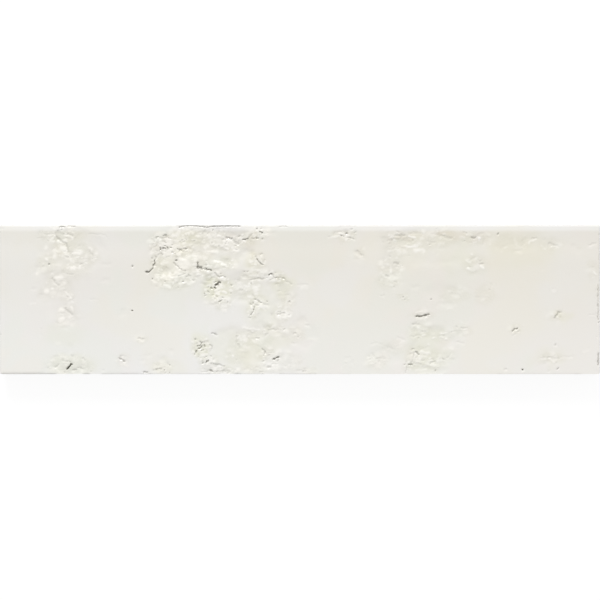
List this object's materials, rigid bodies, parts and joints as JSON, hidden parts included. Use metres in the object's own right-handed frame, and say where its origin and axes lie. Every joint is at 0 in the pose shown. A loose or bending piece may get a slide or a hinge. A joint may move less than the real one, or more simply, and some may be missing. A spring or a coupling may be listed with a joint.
{
  "type": "ceramic wall tile",
  "caption": "Long brick-format glazed ceramic wall tile with a broken, undulating face, rounded arris and keyed back.",
  "frame": {"origin": "on the plane of the back, under the centre of the tile's outline", "axes": "+X along the tile, +Y across it towards the edge that is uppermost in the picture, +Z out of the face"},
  "size_m": [0.24, 0.0596, 0.01],
  "materials": {
    "glazed_stoneware": "off-white satin glaze over an uneven pressed face, bare pale body on the back"
  },
  "bodies": {
    "root": {"wall_tile": "glazed_stoneware"}
  },
  "joints": []
}
